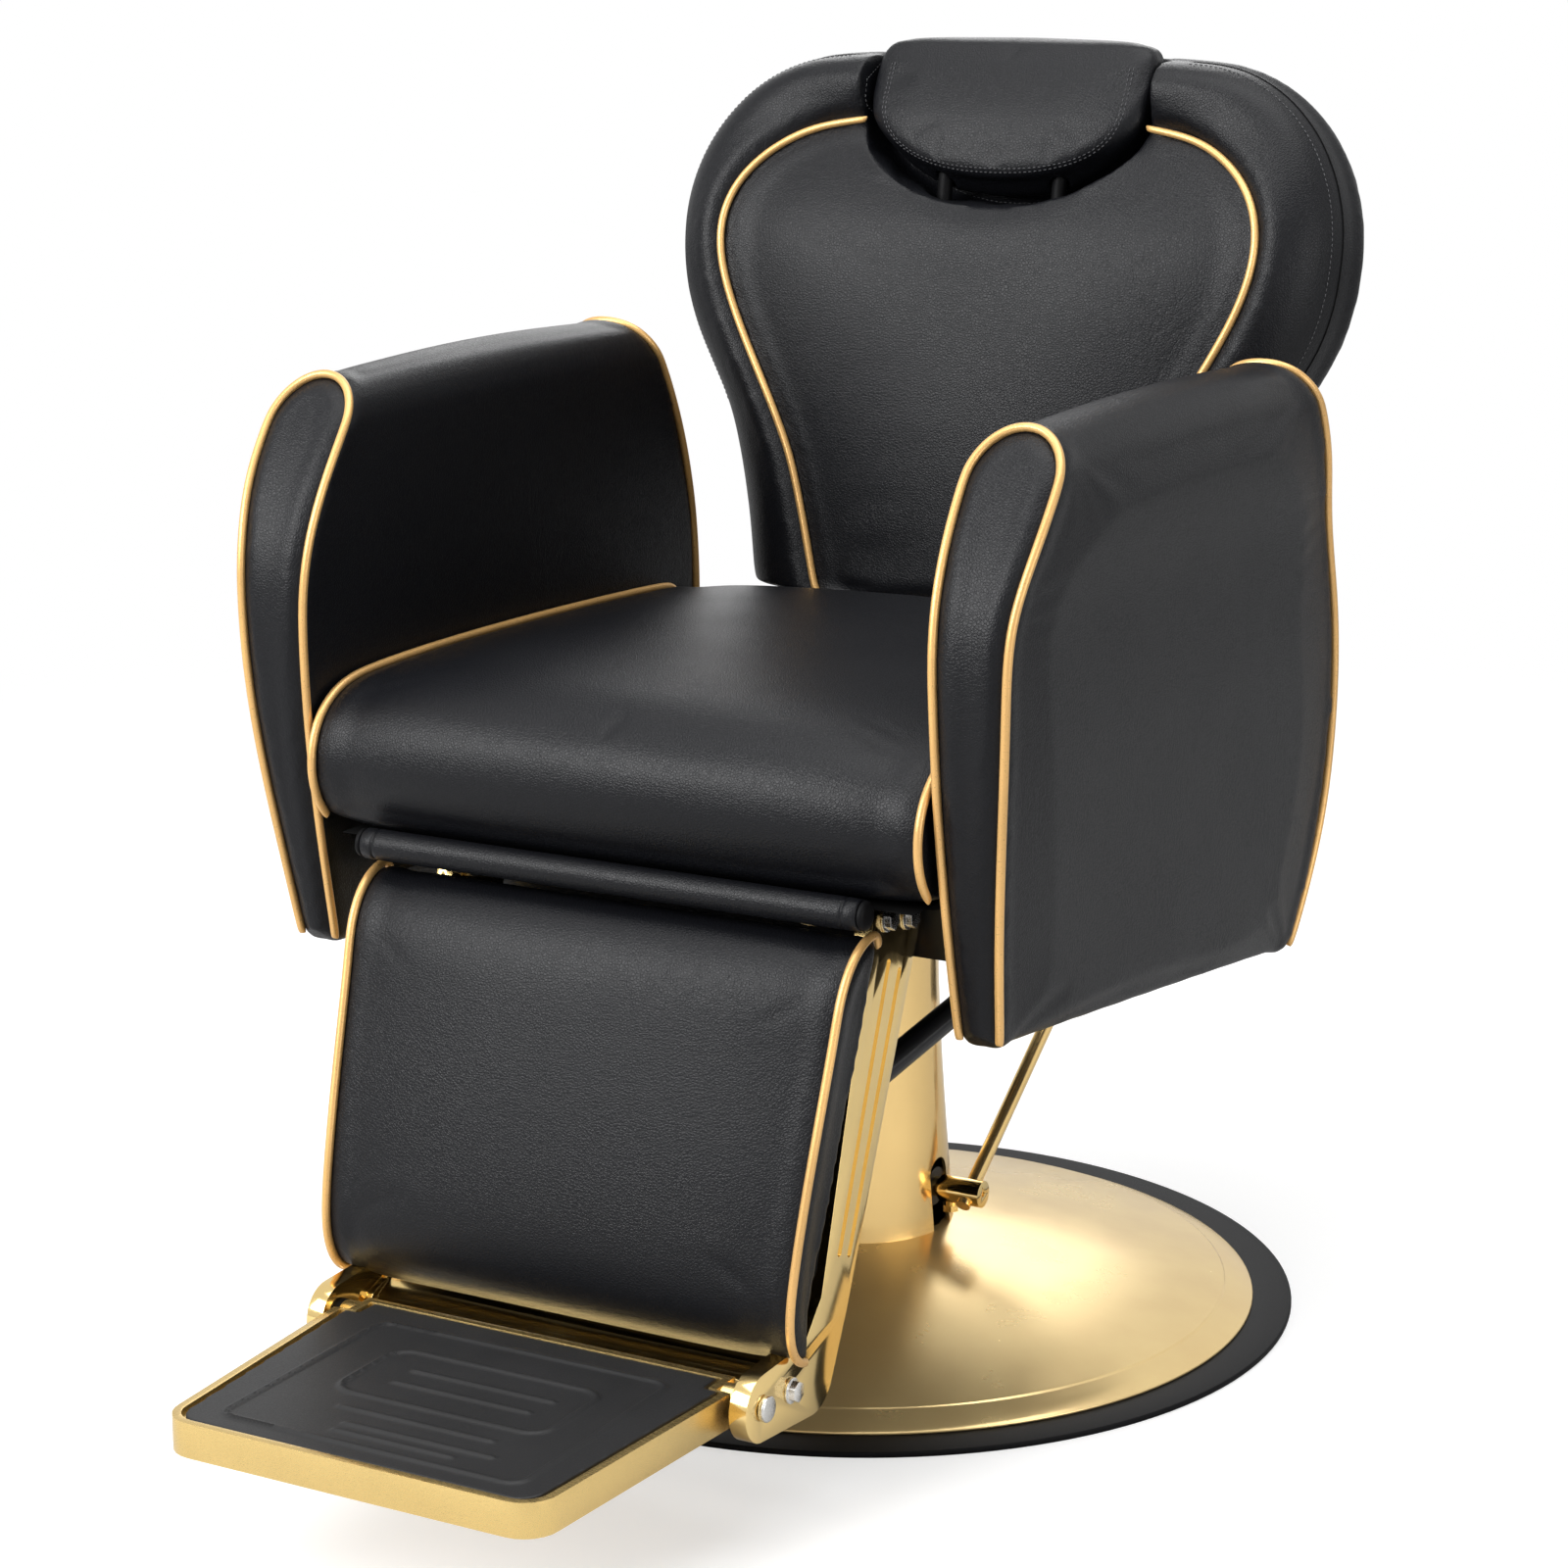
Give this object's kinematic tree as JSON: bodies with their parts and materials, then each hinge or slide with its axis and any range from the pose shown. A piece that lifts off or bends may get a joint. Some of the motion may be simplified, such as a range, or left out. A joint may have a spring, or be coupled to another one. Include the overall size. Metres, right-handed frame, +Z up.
{
  "type": "hydraulic barber chair",
  "caption": "Hydraulic barber chair with a round floor base, swivelling and lifting padded seat, reclining back, sliding headrest and a linked swing-out footrest",
  "frame": {"origin": "centre of the underside of the floor ring, on the swivel axis, at floor level", "axes": "+Z up along the swivel axis, +X towards the sitter's left, the chair faces -Y"},
  "size_m": [0.6799, 1.031, 0.9592],
  "materials": {
    "rubber": "matte moulded rubber",
    "cast_iron": "black painted casting",
    "gold": "mirror polished gold plating on steel",
    "gold_cast": "mirror polished gold finish on cast aluminium",
    "black_steel": "satin black powder coat",
    "steel": "zinc plated steel",
    "ram_chrome": "polished chrome",
    "black_plastic": "black moulded plastic",
    "brass": "machined brass",
    "plywood": "bare plywood",
    "cushion": "black upholstery leatherette over foam, fine grain",
    "piping": "gold leatherette over a cord"
  },
  "bodies": {
    "base": {"floor_pad": "rubber", "base_plate": "cast_iron", "base_dish": "gold", "pump_body": "black_steel", "pump_bolts": "steel", "pump_cover": "gold", "pump_gland": "black_plastic"},
    "lever": {"lever_shaft": "gold", "lever_hub": "gold", "lever_screw": "gold", "lever_rod": "gold", "foot_pedal": "steel", "pedal_rubber": "rubber"},
    "lift": {"ram": "ram_chrome", "thrust_washer": "brass"},
    "seat": {"seat_mount": "black_steel", "mount_bolts": "steel", "seat_frame": "black_steel", "seat_board": "plywood", "seat_cushion": "cushion", "seat_piping": "piping", "arm_brackets": "black_steel", "arm_bolts": "steel", "arm_pad_right": "cushion", "arm_pad_left": "cushion", "arm_piping_right": "piping", "arm_piping_left": "piping", "pivot_shaft": "steel", "front_bar": "cushion", "front_bar_caps": "black_plastic", "back_pins": "steel"},
    "back": {"back_frame": "black_steel", "back_board": "plywood", "back_cover": "black_plastic", "back_cushion": "cushion", "back_piping": "piping", "cross_rod": "steel", "headrest_sockets": "black_plastic"},
    "headrest": {"headrest_pad": "cushion", "headrest_posts": "black_steel"},
    "leg_rest": {"hinge_brackets": "black_steel", "footrest_arm_right": "gold_cast", "footrest_arm_left": "gold_cast", "arm_screws": "steel", "calf_frame": "black_steel", "calf_board": "plywood", "calf_pad": "cushion", "calf_piping": "piping", "gap_plate": "gold_cast", "hinge_washers": "rubber", "footplate_pins": "steel"},
    "right_link": {"link_right": "black_steel"},
    "left_link": {"link_left": "black_steel"},
    "tread": {"footplate": "gold_cast", "footplate_mat": "rubber"}
  },
  "joints": [
    {"name": "lift_slide", "type": "slide", "parent": "base", "child": "lift", "axis": [0, 0, 1], "range_m": [0, 0.15]},
    {"name": "seat_swivel", "type": "hinge", "parent": "lift", "child": "seat", "pos_m": [0, 0, 0.345], "axis": [0, 0, 1], "continuous": true},
    {"name": "lever_hinge", "type": "hinge", "parent": "base", "child": "lever", "pos_m": [0.097, 0, 0.093], "axis": [-1, 0, 0], "range_deg": [0, 28], "stiffness_Nm_per_rad": 6, "springref_deg": -20.05},
    {"name": "recline", "type": "hinge", "parent": "seat", "child": "back", "pos_m": [0, 0.17986, 0.48551], "axis": [-1, 0, 0], "range_deg": [0, 45]},
    {"name": "headrest_slide", "type": "slide", "parent": "back", "child": "headrest", "axis": [0, 0.1571, 0.9876], "range_m": [0, 0.085]},
    {"name": "leg_rest_hinge", "type": "hinge", "parent": "seat", "child": "leg_rest", "pos_m": [0, -0.37, 0.418], "axis": [-1, 0, 0], "range_deg": [0, 45]},
    {"name": "right_link_hinge", "type": "hinge", "parent": "leg_rest", "child": "right_link", "pos_m": [0.151, -0.322, 0.262], "axis": [-1, 0, 0], "range_deg": [-45, 0]},
    {"name": "left_link_hinge", "type": "hinge", "parent": "leg_rest", "child": "left_link", "pos_m": [-0.151, -0.322, 0.262], "axis": [-1, 0, 0], "range_deg": [-45, 0]},
    {"name": "tread_hinge", "type": "hinge", "parent": "leg_rest", "child": "tread", "pos_m": [0, -0.464, 0.102], "axis": [-1, 0, 0], "range_deg": [0, 80]}
  ],
  "couplings": [
    {"joint": "leg_rest_hinge", "follows": "recline", "ratio": 1},
    {"joint": "right_link_hinge", "follows": "recline", "ratio": -1},
    {"joint": "left_link_hinge", "follows": "recline", "ratio": -1}
  ]
}
